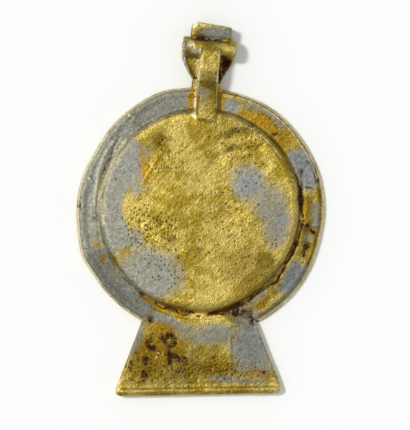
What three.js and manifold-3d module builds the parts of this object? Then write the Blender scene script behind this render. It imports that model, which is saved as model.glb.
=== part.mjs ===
// A small cast bronze icon: a round plate on a flared foot, with a loop for a cord cast on top.
// It lies on its face, as it is laid down, so its plain back is up and its relief is underneath.
// Millimetres. X is to the right and Y towards the loop, seen from above. Z is up, out of the back.
// The origin is at the middle of the casting's box, on the surface that it lies on.
import * as THREE from "three";
import { mergeVertices } from "three/addons/utils/BufferGeometryUtils.js";
import Module from "manifold-3d";

// Driving dimensions
const HEIGHT = 90;
const PLATE_RADIUS = 29.9;
const PLATE_CENTRE_Y = -0.7;
const PLATE_THICKNESS = 2.5;
const PLATE_SIDES = 68;
const WALL_SLOPE = 0.75;
const PLATEAU_RADIUS = 23.4;
const PLATEAU_RISE = 1.45;
const PLATEAU_SHIFT = new THREE.Vector2(-0.15, 0.35);
const FIELD_RADIUS = 23.8;
const FIELD_DEPTH = 2.2;
const FOOT_BOTTOM_Y = -HEIGHT / 2;
const FOOT_BOTTOM_LEFT = -20.7;
const FOOT_BOTTOM_RIGHT = 19.7;
const FOOT_BOTTOM_RISE = 0.6;
const FOOT_WAIST_Y = -27.6;
const FOOT_WAIST_LEFT = -14.4;
const FOOT_WAIST_RIGHT = 13.4;
const FOOT_CORNER = 1.3;
const FOOT_LIP_RADIUS = 0.95;
const FOOT_BORDER = 2.1;
const FOOT_PANEL_DEPTH = 0.9;
const HEAD_PIVOT = new THREE.Vector2(1.45, 30.2);
const HEAD_LEAN = -5;
const HEAD_HALF_WIDTH = 6.4;
const NECK_HALF_WIDTH = 3.5;
const ROLL_Y = 8.3;
const ROLL_Z = 3.15;
const CHANNEL_LOW_Y = 0.9;
const CHANNEL_HIGH_Y = 6.1;
const CHANNEL_FLOOR_Z = 1.4;
const STRAP_HALF_WIDTH = 2.5;
const STRAP_BEVEL = 0.75;
const STRAP_ROOT_Z = 2.2;
const STRAP_UNDERSIDE_Z = 5.85;
const STRAP_TOP_Z = 7.1;
const FACE = 5.3;
const MIDDLE_FIGURE = new THREE.Vector2(0, 10.2);
const SIDE_FIGURE = new THREE.Vector2(13.8, 5);
const TABLE_CENTRE_Y = -10.2;
const TABLE_HALF_WIDTH = 13.2;
const TABLE_HALF_DEPTH = 4.6;
const CLOTH_DROP = 4.6;

// The edge was filed by hand: where it swells or is flat, in degrees from +X, by how much and how far.
const EDGE_SWELLS = [
  { at: 20, by: 0.2, spread: 16 },
  { at: 50, by: 0.35, spread: 14 },
  { at: 108, by: 0.55, spread: 9 },
  { at: 150, by: -0.7, spread: 14 },
  { at: 200, by: 0.6, spread: 8 },
  { at: 346, by: -0.4, spread: 13 },
];

const wasm = await Module();
wasm.setup();

// A closed three.js geometry as a manifold solid.
function solid(geometry) {
  const bare = geometry.index ? geometry.toNonIndexed() : geometry.clone();
  bare.deleteAttribute("normal");
  bare.deleteAttribute("uv");
  const merged = mergeVertices(bare, 1e-4);
  const corners = merged.index.array;
  const triVerts = [];
  for (let i = 0; i < corners.length; i += 3) {
    const [a, b, c] = [corners[i], corners[i + 1], corners[i + 2]];
    if (a !== b && b !== c && a !== c) triVerts.push(a, b, c);
  }
  const vertProperties = merged.attributes.position.array;
  return new wasm.Manifold(
    new wasm.Mesh({ numProp: 3, vertProperties, triVerts: new Uint32Array(triVerts) }),
  );
}

// A manifold solid back as a three.js geometry with flat faces.
function geometryOf(made) {
  const mesh = made.getMesh();
  const geometry = new THREE.BufferGeometry();
  geometry.setAttribute("position", new THREE.BufferAttribute(mesh.vertProperties, 3));
  geometry.setIndex(new THREE.BufferAttribute(mesh.triVerts, 1));
  const faceted = geometry.toNonIndexed();
  faceted.computeVertexNormals();
  return faceted;
}

function joined(solids) {
  return solids.reduce((whole, piece) => whole.add(piece));
}

// An outline in the XY plane, raised from one height to another, with its long edges eased.
function slab(outline, low, high, ease = 0.25) {
  const geometry = new THREE.ExtrudeGeometry(new THREE.Shape(outline), {
    depth: high - low - 2 * ease,
    bevelThickness: ease,
    bevelSize: ease,
    bevelOffset: -ease,
    bevelSegments: 1,
    curveSegments: 6,
  });
  return solid(geometry.translate(0, 0, low + ease));
}

// An egg shape: half sizes, centre, and a turn about Z in degrees.
function egg(halfX, halfY, halfZ, x, y, z, turn = 0, sides = 12) {
  const geometry = new THREE.SphereGeometry(1, sides, Math.round(sides / 2));
  geometry.rotateX(Math.PI / 2).scale(halfX, halfY, halfZ);
  geometry.rotateZ(THREE.MathUtils.degToRad(turn)).translate(x, y, z);
  return solid(geometry);
}

function corner(x, y) {
  return new THREE.Vector2(x, y);
}

// How far the filed edge stands out from the true circle at an angle in radians.
function edgeSwell(angle) {
  const degrees = THREE.MathUtils.radToDeg(angle);
  return EDGE_SWELLS.reduce((sum, { at, by, spread }) => {
    const away = THREE.MathUtils.euclideanModulo(degrees - at + 180, 360) - 180;
    return sum + by * Math.exp(-((away / spread) ** 2));
  }, 0);
}

// The round plate: its section turned about the middle, then pulled to the filed edge.
function plate() {
  const top = PLATE_THICKNESS;
  const back = top + PLATEAU_RISE;
  const section = [
    corner(0, FIELD_DEPTH),
    corner(FIELD_RADIUS - 0.6, FIELD_DEPTH),
    corner(FIELD_RADIUS, 0.3),
    corner(FIELD_RADIUS + 0.4, 0),
    corner(FIELD_RADIUS + 1.2, 0),
    corner(FIELD_RADIUS + 1.5, 0.35),
    corner(FIELD_RADIUS + 1.9, 0.35),
    corner(FIELD_RADIUS + 2.2, 0),
    corner(PLATE_RADIUS - 0.6, 0),
    corner(PLATE_RADIUS, 0.55),
    corner(PLATE_RADIUS - WALL_SLOPE, top - 0.1),
    corner(PLATE_RADIUS - WALL_SLOPE - 0.5, top + 0.05),
    corner(PLATE_RADIUS - 2.6, top - 0.15),
    corner(PLATEAU_RADIUS + 1.9, top - 0.2),
    corner(PLATEAU_RADIUS + 1.2, top - 0.3),
    corner(PLATEAU_RADIUS + 0.6, top + 0.5),
    corner(PLATEAU_RADIUS, back - 0.15),
    corner(PLATEAU_RADIUS - 1.2, back),
    corner(0, back + 0.1),
  ];
  const geometry = new THREE.LatheGeometry(section, PLATE_SIDES).rotateX(Math.PI / 2);
  const places = geometry.attributes.position;
  for (let i = 0; i < places.count; i++) {
    const [x, y] = [places.getX(i), places.getY(i)];
    const radius = Math.hypot(x, y);
    const outside = THREE.MathUtils.smoothstep(radius, PLATEAU_RADIUS + 1.5, PLATE_RADIUS - 1);
    const pull = radius > 0 ? (edgeSwell(Math.atan2(y, x)) * outside) / radius : 0;
    places.setX(i, x * (1 + pull) + PLATEAU_SHIFT.x * (1 - outside));
    places.setY(i, y * (1 + pull) + PLATEAU_SHIFT.y * (1 - outside));
  }
  return solid(geometry.translate(0, PLATE_CENTRE_Y, 0));
}

// The foot's outline, in from its sides by an inset. The bottom corners are rounded.
function footOutline(inset, low, high, rounding) {
  const slope = (waist, bottom) => (waist - bottom) / (FOOT_WAIST_Y - FOOT_BOTTOM_Y);
  const leftAt = (y) =>
    FOOT_WAIST_LEFT + (y - FOOT_WAIST_Y) * slope(FOOT_WAIST_LEFT, FOOT_BOTTOM_LEFT) + inset;
  const rightAt = (y) =>
    FOOT_WAIST_RIGHT + (y - FOOT_WAIST_Y) * slope(FOOT_WAIST_RIGHT, FOOT_BOTTOM_RIGHT) - inset;
  const lowRight = low + FOOT_BOTTOM_RISE;
  const shape = new THREE.Shape();
  shape.moveTo(leftAt(low) + rounding, low);
  shape.lineTo(rightAt(lowRight) - rounding, lowRight);
  shape.quadraticCurveTo(
    rightAt(lowRight),
    lowRight,
    rightAt(lowRight + rounding),
    lowRight + rounding,
  );
  shape.lineTo(rightAt(high), high);
  shape.lineTo(leftAt(high), high);
  shape.lineTo(leftAt(low + rounding), low + rounding);
  shape.quadraticCurveTo(leftAt(low), low, leftAt(low) + rounding, low);
  return shape.getPoints(4);
}

// The flared foot. Its top runs into the plate's ring, and its bottom edge is a rounded lip on the back.
function foot() {
  const ringMiddle = PLATEAU_RADIUS + 2.6;
  const inPlate = solid(
    new THREE.CylinderGeometry(ringMiddle, ringMiddle, 20, 64)
      .rotateX(Math.PI / 2)
      .translate(0, PLATE_CENTRE_Y, 0),
  );
  const outline = footOutline(0, FOOT_BOTTOM_Y, FOOT_WAIST_Y + 5, FOOT_CORNER);
  const body = slab(outline, 0, PLATE_THICKNESS, 0.3);
  const lipLength = FOOT_BOTTOM_RIGHT - FOOT_BOTTOM_LEFT - 2 * (FOOT_CORNER + FOOT_LIP_RADIUS / 2);
  const lip = solid(
    new THREE.CapsuleGeometry(FOOT_LIP_RADIUS, lipLength, 4, 10)
      .rotateZ(Math.PI / 2 + Math.atan(FOOT_BOTTOM_RISE / lipLength))
      .translate(
        (FOOT_BOTTOM_LEFT + FOOT_BOTTOM_RIGHT) / 2,
        FOOT_BOTTOM_Y + FOOT_BOTTOM_RISE / 2 + FOOT_LIP_RADIUS + 0.2,
        PLATE_THICKNESS - 0.6,
      ),
  );
  return body.add(lip).subtract(inPlate);
}

// The hollow panel in the foot's front.
function footPanel() {
  const low = FOOT_BOTTOM_Y + FOOT_BORDER;
  const high = FOOT_WAIST_Y - 3.2;
  return slab(footOutline(FOOT_BORDER, low, high, 0.6), -1, FOOT_PANEL_DEPTH, 0.2);
}

// Moves a solid from the head's own frame, with its origin at the neck, to where the head leans.
function onNeck(made) {
  return made.rotate([0, 0, HEAD_LEAN]).translate([HEAD_PIVOT.x, HEAD_PIVOT.y, 0]);
}

// A side profile of (y, z) points, extruded along X from one side to the other.
function acrossHead(profile, left, right, ease) {
  const outline = profile.map(([y, z]) => corner(y, z));
  const geometry = new THREE.ExtrudeGeometry(new THREE.Shape(outline), {
    depth: right - left - 2 * ease,
    bevelThickness: ease,
    bevelSize: ease,
    bevelOffset: -ease,
    bevelSegments: 2,
  });
  // The extrusion runs along Z, so its x, y, z become y, z, x.
  const turn = new THREE.Matrix4().makeBasis(
    new THREE.Vector3(0, 1, 0),
    new THREE.Vector3(0, 0, 1),
    new THREE.Vector3(1, 0, 0),
  );
  return solid(geometry.applyMatrix4(turn).translate(left + ease, 0, 0));
}

// The loop's head: a front shell, a thick roll above it and a block on top, with a channel for the cord.
function head() {
  const shell = slab(
    [
      corner(-NECK_HALF_WIDTH, -2.4),
      corner(NECK_HALF_WIDTH, -2.4),
      corner(NECK_HALF_WIDTH, 0.9),
      corner(HEAD_HALF_WIDTH - 0.5, 5.4),
      corner(HEAD_HALF_WIDTH, 7),
      corner(-HEAD_HALF_WIDTH, 7),
      corner(-HEAD_HALF_WIDTH, 5.2),
      corner(-NECK_HALF_WIDTH, 0.9),
    ],
    0.5,
    3.1,
    0.7,
  );
  const rollSteps = 12;
  const roll = Array.from({ length: rollSteps }, (_, i) => {
    const angle = (2 * Math.PI * i) / rollSteps;
    return [ROLL_Y + 2.35 * Math.cos(angle), ROLL_Z + 3 * Math.sin(angle)];
  });
  const block = slab(
    [corner(-5, 9.6), corner(4.9, 9.6), corner(4.9, 13.8), corner(-3.7, 14.6), corner(-5, 12.4)],
    0.7,
    4.9,
    0.5,
  );
  const above = STRAP_TOP_Z + 1;
  const channel = acrossHead(
    [
      [CHANNEL_LOW_Y, above],
      [CHANNEL_LOW_Y, CHANNEL_FLOOR_Z + 0.3],
      [CHANNEL_LOW_Y + 0.3, CHANNEL_FLOOR_Z],
      [CHANNEL_HIGH_Y - 0.3, CHANNEL_FLOOR_Z],
      [CHANNEL_HIGH_Y, CHANNEL_FLOOR_Z + 0.3],
      [CHANNEL_HIGH_Y, above],
    ],
    -2 * HEAD_HALF_WIDTH,
    2 * HEAD_HALF_WIDTH,
    0,
  );
  const rollBar = acrossHead(roll, -HEAD_HALF_WIDTH, HEAD_HALF_WIDTH, 0.7);
  return onNeck(joined([shell, rollBar, block]).subtract(channel));
}

// A closed solid through rings of points, each with the same number of points, going round the same way.
function loft(rings) {
  const count = rings[0].length;
  const places = rings.flat().flatMap((point) => point);
  const faces = [];
  for (let ring = 0; ring < rings.length - 1; ring++)
    for (let i = 0; i < count; i++) {
      const [a, b] = [ring * count + i, ring * count + ((i + 1) % count)];
      faces.push(a, b, b + count, a, b + count, a + count);
    }
  const last = (rings.length - 1) * count;
  for (let i = 1; i < count - 1; i++) faces.push(0, i + 1, i, last, last + i, last + i + 1);
  const geometry = new THREE.BufferGeometry();
  geometry.setAttribute("position", new THREE.Float32BufferAttribute(places, 3));
  geometry.setIndex(faces);
  return solid(geometry);
}

// The strap: it grows out of the plateau's top, climbs over the neck and the channel, and ends on the roll.
function strap() {
  const half = STRAP_HALF_WIDTH;
  const root = STRAP_ROOT_Z;
  const onRoll = ROLL_Z + 1.45;
  const stations = [
    { y: -9.6, low: root, top: 3.8, half: half - 0.4 },
    { y: -8.8, low: root, top: 4.35, half: half - 0.05 },
    { y: -4, low: root, top: 4.9, half },
    { y: -1.2, low: root, top: 5.3, half },
    { y: CHANNEL_LOW_Y - 0.1, low: root, top: STRAP_TOP_Z - 0.7, half },
    { y: CHANNEL_LOW_Y, low: STRAP_UNDERSIDE_Z, top: STRAP_TOP_Z - 0.65, half },
    { y: 3, low: STRAP_UNDERSIDE_Z, top: STRAP_TOP_Z - 0.1, half },
    { y: CHANNEL_HIGH_Y, low: STRAP_UNDERSIDE_Z, top: STRAP_TOP_Z, half },
    { y: 7.6, low: onRoll, top: STRAP_TOP_Z - 0.1, half },
    { y: 8.7, low: onRoll, top: STRAP_TOP_Z - 0.6, half: half - 0.4 },
    { y: 9.2, low: onRoll, top: STRAP_TOP_Z - 1.2, half: half - 1.1 },
  ];
  const rings = stations.map(({ y, low, top, half }) => [
    [-half, y, low],
    [-half, y, top - STRAP_BEVEL],
    [-half + STRAP_BEVEL, y, top],
    [half - STRAP_BEVEL, y, top],
    [half, y, top - STRAP_BEVEL],
    [half, y, low],
  ]);
  return onNeck(loft(rings).translate([0.2, 0, 0]));
}

// A rounded bar of the relief between two points, at a height above the field's floor.
function bar([x1, y1], [x2, y2], radius, height, sides = 8) {
  const long = Math.hypot(x2 - x1, y2 - y1) / 2 + radius / 2;
  const turn = THREE.MathUtils.radToDeg(Math.atan2(y2 - y1, x2 - x1));
  return egg(long, radius, height, (x1 + x2) / 2, (y1 + y2) / 2, FIELD_DEPTH, turn, sides);
}

// A low disc or oval of the relief.
function disc(halfX, halfY, height, x, y, sides) {
  const geometry = new THREE.CylinderGeometry(1, 0.94, height + 0.4, sides).rotateX(Math.PI / 2);
  return solid(geometry.scale(halfX, halfY, 1).translate(x, y, FIELD_DEPTH + 0.2 - height / 2));
}

// A winged figure to the waist. It is measured in faces from the middle of its face, so 1 is one face.
// The feathers of its left and right wings point at the given degrees above the level.
function wingedFigure(place, leftWing, rightWing) {
  const at = ([x, y]) => [place.x + x * FACE, place.y + y * FACE];
  const swell = (halfX, halfY, height, x, y, sides = 10) =>
    egg(halfX * FACE, halfY * FACE, height, ...at([x, y]), FIELD_DEPTH, 0, sides);
  const limb = (from, to, radius, height, sides) => bar(at(from), at(to), radius * FACE, height, sides);
  const pieces = [
    disc(0.98 * FACE, 0.98 * FACE, 0.5, place.x, place.y, 28),
    swell(0.5, 0.56, 1.35, 0, 0.1, 12),
    swell(0.37, 0.5, 1.65, 0, -0.05, 12),
    swell(0.2, 0.4, 1, 0, -0.6, 8),
    swell(0.05, 0.15, 1.8, 0, -0.02, 6),
    swell(1.12, 0.42, 1.15, 0, -1.1),
    swell(0.92, 1.5, 1.3, 0, -2.1),
  ];
  for (const side of [-1, 1]) {
    const feather = (degrees, from, to, width, height) => {
      const angle = THREE.MathUtils.degToRad(degrees);
      const out = (far) => [side * (0.75 + far * Math.cos(angle)), far * Math.sin(angle) - 1.2];
      return limb(out(from), out(to), width, height);
    };
    const wing = side < 0 ? leftWing : rightWing;
    pieces.push(feather(wing[0] - 20, 0.1, 0.8, 0.24, 0.95));
    for (const degrees of wing) pieces.push(feather(degrees, 0.5, 1.95, 0.2, 0.8));
    pieces.push(
      limb([side * 0.4, 0.1], [side * 0.42, -0.46], 0.15, 1.2),
      limb([side * 1, -1.14], [side * 1.2, -2], 0.26, 1.35, 10),
      limb([side * 1.18, -2.06], [side * 0.3, -1.92], 0.22, 1.6, 10),
      limb([side * 0.34, -1.9], [-side * 0.1, -1.6], 0.14, 1.8),
    );
  }
  return pieces;
}

// The round table with its pleated cloth, and the bowl, cups and loaves on it.
function laidTable() {
  const onTable = FIELD_DEPTH - 1.1;
  const clothHalfDepth = (TABLE_HALF_DEPTH + CLOTH_DROP) / 2 + 1;
  const clothCentreY = TABLE_CENTRE_Y - TABLE_HALF_DEPTH - CLOTH_DROP + clothHalfDepth;
  const pieces = [
    disc(TABLE_HALF_WIDTH, TABLE_HALF_DEPTH, 1.5, 0, TABLE_CENTRE_Y, 36),
    disc(TABLE_HALF_WIDTH - 0.5, clothHalfDepth, 0.9, 0, clothCentreY, 30),
    egg(2.3, 1.6, 0.8, 0, TABLE_CENTRE_Y + 0.4, onTable, 0, 10),
  ];
  const pleats = 8;
  for (let i = 0; i < pleats; i++) {
    const across = (2 * i + 1) / pleats - 1;
    const hang = Math.sqrt(1 - across ** 2);
    const x = across * (TABLE_HALF_WIDTH - 0.8);
    const edge = TABLE_CENTRE_Y - TABLE_HALF_DEPTH * hang;
    const hem = clothCentreY - (clothHalfDepth - 0.6) * hang;
    pieces.push(bar([x, edge + 0.4], [x * 0.97, hem], 0.85, 1.35));
  }
  for (const side of [-1, 1])
    pieces.push(
      egg(1.1, 1.3, 0.75, side * 5, TABLE_CENTRE_Y - 0.6, onTable, 0, 8),
      egg(1.7, 0.9, 0.7, side * 8.8, TABLE_CENTRE_Y + 0.2, onTable, 0, 8),
    );
  return pieces;
}

// The relief in the field: three winged figures at a table, kept within the field.
function relief() {
  const inRim = FIELD_RADIUS + 0.1;
  const high = FIELD_DEPTH + 0.5;
  const field = solid(
    new THREE.CylinderGeometry(inRim, inRim, high, PLATE_SIDES)
      .rotateX(Math.PI / 2)
      .translate(0, 0, high / 2 + 0.1),
  );
  const outer = [80, 56, 32, 8, -16, -40];
  const inner = [88, 64];
  const right = SIDE_FIGURE;
  const left = corner(-right.x, right.y);
  const figures = [
    ...wingedFigure(right, inner, outer),
    ...wingedFigure(left, outer, inner),
    ...wingedFigure(MIDDLE_FIGURE, [66, 40, 14, -12], [66, 40, 14, -12]),
  ];
  return joined([...figures, ...laidTable()])
    .intersect(field)
    .translate([0, PLATE_CENTRE_Y, 0]);
}

// A fan of petals between two curls, in the foot's panel.
function palmette() {
  const root = corner(-0.5, -41.6);
  const floor = FOOT_PANEL_DEPTH;
  const pieces = [egg(1.5, 1.1, 0.75, root.x, root.y, floor)];
  const petals = 7;
  for (let i = 0; i < petals; i++) {
    const away = (i - (petals - 1) / 2) * 25;
    const long = 4.6 - Math.abs(away) * 0.02;
    const angle = THREE.MathUtils.degToRad(90 - away);
    const [x, y] = [root.x + (long + 1) * Math.cos(angle), root.y + (long + 1) * Math.sin(angle)];
    pieces.push(egg(long, 1, 0.7, x, y, floor, 90 - away, 10));
  }
  for (const side of [-1, 1]) {
    const curl = new THREE.TorusGeometry(1.7, 0.55, 6, 14);
    pieces.push(solid(curl.translate(root.x + side * 11.6, root.y + 2.6, floor)));
    pieces.push(egg(4.4, 0.65, 0.6, root.x + side * 6.6, root.y + 0.5, floor, side * 3, 10));
  }
  return joined(pieces);
}

// A small cross on the front of the loop's head.
function headCross() {
  const arm = (left, right, low, high) =>
    slab([corner(left, low), corner(right, low), corner(right, high), corner(left, high)], 0.1, 1.1, 0.15);
  return onNeck(arm(-0.55, 0.55, 1.4, 6.4).add(arm(-1.9, 1.9, 3.6, 4.6)));
}

const blank = joined([plate(), foot(), head(), strap()]).subtract(footPanel());
const casting = joined([blank, relief(), palmette(), headCross()]);

const bronze = new THREE.MeshStandardMaterial({
  color: new THREE.Color(0.42, 0.33, 0.14),
  roughness: 0.45,
  metalness: 0.9,
});

const icon = new THREE.Group();
const icon_casting = new THREE.Mesh(geometryOf(casting), bronze);
icon_casting.name = "icon_casting";
icon.add(icon_casting);
export default icon;
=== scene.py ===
import itertools
import math

import bmesh
import bpy
import numpy as np
from bpy.props import FloatProperty, FloatVectorProperty, IntProperty, PointerProperty
from bpy.types import Operator, Panel, PropertyGroup
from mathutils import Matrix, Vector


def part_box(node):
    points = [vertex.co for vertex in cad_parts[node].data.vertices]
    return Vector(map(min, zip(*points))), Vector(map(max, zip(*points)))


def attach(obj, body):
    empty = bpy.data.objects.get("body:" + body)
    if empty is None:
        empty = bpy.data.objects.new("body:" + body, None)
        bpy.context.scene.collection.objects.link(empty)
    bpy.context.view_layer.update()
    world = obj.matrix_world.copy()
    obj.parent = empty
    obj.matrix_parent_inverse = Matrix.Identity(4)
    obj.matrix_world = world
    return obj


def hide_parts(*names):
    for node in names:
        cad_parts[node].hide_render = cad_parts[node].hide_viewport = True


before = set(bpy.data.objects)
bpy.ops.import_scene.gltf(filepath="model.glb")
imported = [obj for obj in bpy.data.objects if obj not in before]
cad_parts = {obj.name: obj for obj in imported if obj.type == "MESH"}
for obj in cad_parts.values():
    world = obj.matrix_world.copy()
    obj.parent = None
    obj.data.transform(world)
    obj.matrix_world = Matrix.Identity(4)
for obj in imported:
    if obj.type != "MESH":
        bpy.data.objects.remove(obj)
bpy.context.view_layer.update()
CASTING_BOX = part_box("icon_casting")

bl_info = {
    "name": "Cast Bronze Icon",
    "version": (1, 0, 0),
    "blender": (4, 5, 0),
    "location": "View3D > Sidebar > Icon",
    "description": "Builds a small cast bronze icon that lies on its face",
    "category": "Add Mesh",
}

MM = 0.001
TRIANGLES = 196000


# Settings


def length(value, name, description):
    """A length setting, given here in millimetres."""
    return FloatProperty(
        name=name, description=description, default=value * MM, unit="LENGTH", precision=5
    )


def paint(red, green, blue, name, description):
    """A colour setting, given here as the eye reads it, from 0 to 255."""
    values = []
    for value in (red, green, blue):
        share = value / 255
        values.append(share / 12.92 if share < 0.04045 else ((share + 0.055) / 1.055) ** 2.4)
    return FloatVectorProperty(
        name=name, description=description, default=values, size=3, subtype="COLOR", min=0, max=1
    )


class IconSizes(PropertyGroup):
    plate_radius: length(29.9, "Plate radius", "From the plate's middle to its edge on the front")
    plate_centre: length(-0.7, "Plate centre", "Where the plate's middle is along Y")
    plate_thickness: length(2.5, "Plate thickness", "From the front rim to the back of the ring")
    wall_slope: length(0.75, "Wall slope", "How far the edge leans in towards the back")
    plateau_radius: length(23.4, "Plateau radius", "The raised middle of the back")
    plateau_rise: length(1.45, "Plateau rise", "How far the middle stands above the ring")
    field_radius: length(23.8, "Field radius", "The hollow field of the front")
    field_depth: length(2.2, "Field depth", "How deep the field lies below the rim")
    foot_thickness: length(2.5, "Foot thickness", "From front to back of the flared foot")
    foot_border: length(2.1, "Foot border", "The plain border round the foot's panel")
    panel_depth: length(0.9, "Panel depth", "How deep the foot's panel lies")
    lip_radius: length(0.95, "Lip radius", "The rounded lip along the foot's bottom")
    head_half_width: length(6.4, "Head half width", "Half of the loop's widest part")
    neck_half_width: length(3.5, "Neck half width", "Half of the neck under the loop")
    strap_half_width: length(2.5, "Strap half width", "Half of the strap over the loop")
    strap_top: length(7.1, "Strap top", "The strap's highest point")
    face: length(5.3, "Face", "The height of a face, which measures the figures")
    grain: length(0.2, "Grain", "The size that the joined casting is worked at")


class IconFinish(PropertyGroup):
    gold: paint(192, 170, 88, "Gold", "Bronze that is worn to its yellow")
    deep_gold: paint(152, 128, 36, "Deep gold", "Bronze between the worn places")
    ochre: paint(164, 124, 10, "Ochre", "Orange brown patches")
    olive: paint(112, 90, 12, "Olive", "Darkened bronze")
    grey: paint(148, 147, 132, "Grey", "Silvery grey patina")
    cool: paint(136, 140, 142, "Cool grey", "Blue grey patina")
    # Red-black layer: dirt, and painted shade and shadow in creases, beside the strap and in the loop's channel.
    soot: paint(56, 26, 6, "Soot", "Red black dirt in the grooves")
    # Pale layer: polish, and painted highlight on lit edges and slopes and painted reflection of the floor on the
    # outer wall.
    pale: paint(226, 214, 170, "Pale", "Polished edges and ridges")
    seed: IntProperty(name="Seed", description="Starts every random pattern", default=7)


class IconStage(PropertyGroup):
    floor: paint(246, 247, 246, "Floor", "The pale surface under the icon")
    camera_height: length(900, "Camera height", "From the floor to the camera")
    view_width: length(98.6, "View width", "The width that the camera sees")
    view_x: length(1.06, "View centre X", "Where the camera looks along X")
    view_y: length(-1.5, "View centre Y", "Where the camera looks along Y")


# Tools for working a mesh


def clear_selection():
    """Leaves nothing selected and nothing in edit mode."""
    if bpy.context.object and bpy.context.object.mode != "OBJECT":
        bpy.ops.object.mode_set(mode="OBJECT")
    bpy.ops.object.select_all(action="DESELECT")


def begin(name):
    """Names the primitive that was just added and opens it in edit mode with all selected."""
    piece = bpy.context.object
    piece.name = piece.data.name = name
    bpy.ops.object.mode_set(mode="EDIT")
    bpy.context.tool_settings.mesh_select_mode = (False, False, True)
    bpy.ops.mesh.select_all(action="SELECT")
    return piece


def end(piece):
    """Turns the faces outwards, closes edit mode and puts the object's place into its mesh."""
    bpy.ops.mesh.select_all(action="SELECT")
    bpy.ops.mesh.normals_make_consistent(inside=False)
    bpy.ops.object.mode_set(mode="OBJECT")
    bpy.ops.object.transform_apply(location=True, rotation=True, scale=True)
    return piece


def pick(test, kind="faces"):
    """In edit mode, selects only the faces, edges or corners whose place passes the test."""
    mesh = bpy.context.object.data
    modes = {"verts": (True, False, False), "edges": (False, True, False), "faces": (False, False, True)}
    bpy.context.tool_settings.mesh_select_mode = modes[kind]
    bpy.ops.mesh.select_all(action="DESELECT")
    shape = bmesh.from_edit_mesh(mesh)
    for part in getattr(shape, kind):
        if kind == "faces":
            chosen = test(part.calc_center_median(), part.normal)
        elif kind == "edges":
            chosen = test(part.verts[0].co, part.verts[1].co)
        else:
            chosen = test(part.co)
        part.select_set(chosen)
    shape.select_flush_mode()
    bmesh.update_edit_mesh(mesh)


def finish_with(piece, kind, **settings):
    """Adds one modifier and applies it."""
    clear_selection()
    piece.select_set(True)
    bpy.context.view_layer.objects.active = piece
    modifier = piece.modifiers.new(kind.title(), kind)
    for setting, value in settings.items():
        setattr(modifier, setting, value)
    bpy.ops.object.modifier_apply(modifier=modifier.name)


def join(name, pieces):
    """Joins pieces into the first of them and renames it."""
    clear_selection()
    for piece in pieces:
        piece.select_set(True)
    bpy.context.view_layer.objects.active = pieces[0]
    bpy.ops.object.join()
    pieces[0].name = pieces[0].data.name = name
    return pieces[0]


def corners_of(piece):
    """The mesh's corners as an array, in metres."""
    places = np.empty(len(piece.data.vertices) * 3)
    piece.data.vertices.foreach_get("co", places)
    return places.reshape(-1, 3)


def normals_of(piece):
    """The mesh's normals at its corners."""
    directions = np.empty(len(piece.data.vertices) * 3)
    piece.data.vertices.foreach_get("normal", directions)
    return directions.reshape(-1, 3)


def move_corners(piece, places):
    """Puts the mesh's corners at new places."""
    piece.data.vertices.foreach_set("co", places.ravel())
    piece.data.update()


def begin_empty(name):
    """Opens a new mesh in edit mode, with nothing in it yet."""
    clear_selection()
    bpy.ops.mesh.primitive_plane_add(size=MM)
    piece = begin(name)
    bpy.ops.mesh.delete(type="VERT")
    return piece


def swell(half, place, turn=0.0, sides=20):
    """In edit mode, adds an egg shape of three half sizes at a place, turned about Z in degrees."""
    bpy.ops.mesh.primitive_uv_sphere_add(
        segments=sides,
        ring_count=sides // 2,
        radius=1,
        location=[value * MM for value in place],
        rotation=(0, 0, math.radians(turn)),
        scale=[value * MM for value in half],
    )


def lump(floor, half_x, half_y, reach, x, y, turn=0.0, thick=None, sides=20):
    """In edit mode, adds an egg shape that stands out from the relief's floor by its reach."""
    thick = thick or reach
    swell((half_x, half_y, thick), (x, y, floor - reach + thick), turn, sides)


def bar(floor, start, finish, radius, reach, thick=None, sides=16):
    """In edit mode, adds a long egg shape between two points of the relief."""
    across, up = finish[0] - start[0], finish[1] - start[1]
    x, y = (start[0] + finish[0]) / 2, (start[1] + finish[1]) / 2
    half = math.hypot(across, up) / 2 + radius / 2
    lump(floor, half, radius, reach, x, y, math.degrees(math.atan2(up, across)), thick, sides)


def disc(half_x, half_y, low, high, x, y, sides=64):
    """In edit mode, adds a flat oval with a sloping edge, between two heights."""
    bpy.ops.mesh.primitive_cone_add(
        vertices=sides,
        radius1=MM,
        radius2=1.06 * MM,
        depth=(high - low) * MM,
        location=(x * MM, y * MM, (low + high) / 2 * MM),
        scale=(half_x, half_y, 1),
    )


def ring(radius, thick, x, y, z, stretch=1.0):
    """In edit mode, adds a round wire bent into a ring."""
    bpy.ops.mesh.primitive_torus_add(
        major_radius=radius * MM,
        minor_radius=thick * MM,
        major_segments=56,
        minor_segments=10,
        location=(x * MM, y * MM, z * MM),
    )
    bpy.ops.transform.resize(value=(1, stretch, 1), center_override=(x * MM, y * MM, z * MM))


def copy_of(piece, x, y, turn=0.0, size=1.0, flip=False):
    """A copy with its own mesh, turned about Z in degrees, sized and moved in millimetres."""
    clear_selection()
    made = piece.copy()
    made.data = piece.data.copy()
    bpy.context.collection.objects.link(made)
    made.select_set(True)
    bpy.context.view_layer.objects.active = made
    made.location = (x * MM, y * MM, 0)
    made.rotation_euler.z = math.radians(turn)
    made.scale = (-size if flip else size, size, 1)
    bpy.ops.object.transform_apply(location=True, rotation=True, scale=True)
    if flip:
        bpy.ops.object.mode_set(mode="EDIT")
        end(made)
    return made


def prism(name, outline, low, high, ease):
    """A flat slab with an outline of (x, y) points in millimetres, its edges bevelled."""
    clear_selection()
    bpy.ops.mesh.primitive_circle_add(
        vertices=len(outline), radius=MM, fill_type="NGON", location=(0, 0, low * MM)
    )
    piece = bpy.context.object
    for corner, (x, y) in zip(piece.data.vertices, outline):
        corner.co = (x * MM, y * MM, 0)
    begin(name)
    bpy.ops.mesh.extrude_region_move(TRANSFORM_OT_translate={"value": (0, 0, (high - low) * MM)})
    bpy.ops.mesh.select_all(action="SELECT")
    bpy.ops.mesh.bevel(offset=ease * MM, segments=3, affect="EDGES")
    return end(piece)


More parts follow.
